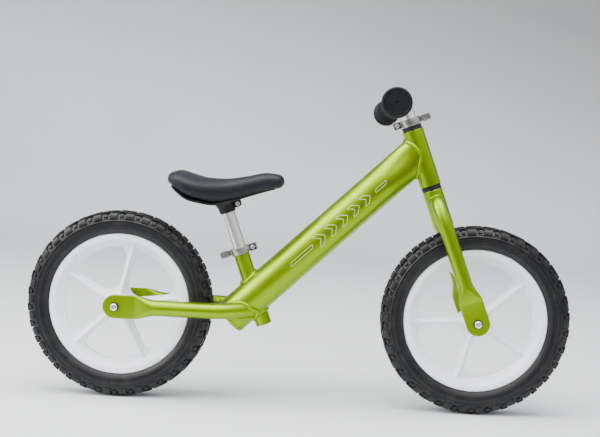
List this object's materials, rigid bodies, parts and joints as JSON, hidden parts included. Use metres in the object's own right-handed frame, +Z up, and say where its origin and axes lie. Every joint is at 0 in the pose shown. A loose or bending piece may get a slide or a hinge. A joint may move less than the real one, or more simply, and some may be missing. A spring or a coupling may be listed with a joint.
{
  "type": "balance bike",
  "caption": "Child's balance bike: fat lime-green main tube, white spoked wheels with black foam tyres, padded saddle and low handlebar on quick-release clamps.",
  "frame": {"origin": "on the ground, midway between the two wheels, in the bike's middle plane", "axes": "+X forward, +Y to the bike's left, +Z up"},
  "size_m": [0.8842, 0.335, 0.5111],
  "materials": {
    "lime_paint": "satin metallic lime green over aluminium, anodised look",
    "white_plastic": "moulded white nylon, soft sheen",
    "tyre_foam": "black moulded foam with a blocky tread",
    "black_plastic": "black moulded plastic",
    "grip_rubber": "matte black rubber",
    "saddle_cover": "soft black skin, satin, fine grain",
    "satin_steel": "satin silver",
    "bright_steel": "bright zinc-plated steel"
  },
  "bodies": {
    "frame": {"main_tube": "lime_paint", "main_tube_cap": "lime_paint", "head_tube": "lime_paint", "seat_tube": "lime_paint", "right_chain_stay": "lime_paint", "left_chain_stay": "lime_paint", "lower_headset_bush": "black_plastic", "upper_headset_bush": "black_plastic", "seat_clamp_collar": "satin_steel", "seat_clamp_bolt": "bright_steel", "seat_clamp_nut": "bright_steel", "seat_clamp_pin": "bright_steel", "rear_axle": "bright_steel", "rear_spacer_right": "bright_steel", "rear_washer_right": "bright_steel", "rear_axle_bolt_right": "bright_steel", "rear_spacer_left": "bright_steel", "rear_washer_left": "bright_steel", "rear_axle_bolt_left": "bright_steel"},
    "fork": {"steerer_tube": "satin_steel", "fork_crown": "lime_paint", "right_fork_blade": "lime_paint", "left_fork_blade": "lime_paint", "bar_clamp_collar": "satin_steel", "bar_clamp_bolt": "bright_steel", "bar_clamp_nut": "bright_steel", "bar_clamp_pin": "bright_steel", "front_axle": "bright_steel", "front_spacer_right": "bright_steel", "front_washer_right": "bright_steel", "front_axle_bolt_right": "bright_steel", "front_spacer_left": "bright_steel", "front_washer_left": "bright_steel", "front_axle_bolt_left": "bright_steel"},
    "handlebar": {"stem_tube": "satin_steel", "handlebar_tube": "satin_steel", "right_grip": "grip_rubber", "left_grip": "grip_rubber"},
    "seat": {"seat_post": "satin_steel", "saddle_socket": "black_plastic", "saddle_clamp_bolt": "bright_steel", "saddle_base": "black_plastic", "saddle_pad": "saddle_cover"},
    "rear_wheel": {"rear_tyre": "tyre_foam", "rear_rim": "white_plastic", "rear_bearing_right": "bright_steel", "rear_bearing_left": "bright_steel"},
    "front_wheel": {"front_tyre": "tyre_foam", "front_rim": "white_plastic", "front_bearing_right": "bright_steel", "front_bearing_left": "bright_steel"},
    "seat_lever": {"seat_clamp_lever": "satin_steel"},
    "bar_lever": {"bar_clamp_lever": "satin_steel"}
  },
  "joints": [
    {"name": "steer", "type": "hinge", "parent": "frame", "child": "fork", "pos_m": [0.28965, 0, 0.1525], "axis": [-0.3535, 0, 0.9354], "continuous": true},
    {"name": "front_wheel_spin", "type": "hinge", "parent": "fork", "child": "front_wheel", "pos_m": [0.28965, 0, 0.1525], "axis": [0, 1, 0], "continuous": true},
    {"name": "rear_wheel_spin", "type": "hinge", "parent": "frame", "child": "rear_wheel", "pos_m": [-0.28965, 0, 0.1525], "axis": [0, 1, 0], "continuous": true},
    {"name": "seat_height", "type": "slide", "parent": "frame", "child": "seat", "axis": [-0.342, 0, 0.9397], "range_m": [-0.055, 0.075]},
    {"name": "handlebar_height", "type": "slide", "parent": "fork", "child": "handlebar", "axis": [-0.3535, 0, 0.9354], "range_m": [-0.008, 0.08]},
    {"name": "seat_lever_open", "type": "hinge", "parent": "frame", "child": "seat_lever", "pos_m": [-0.0744, 0.0152, 0.25558], "axis": [0.342, 0, -0.9397], "range_deg": [0, 150]},
    {"name": "bar_lever_open", "type": "hinge", "parent": "fork", "child": "bar_lever", "pos_m": [0.14938, 0.0152, 0.46007], "axis": [-0.3535, 0, 0.9354], "range_deg": [0, 150]}
  ]
}
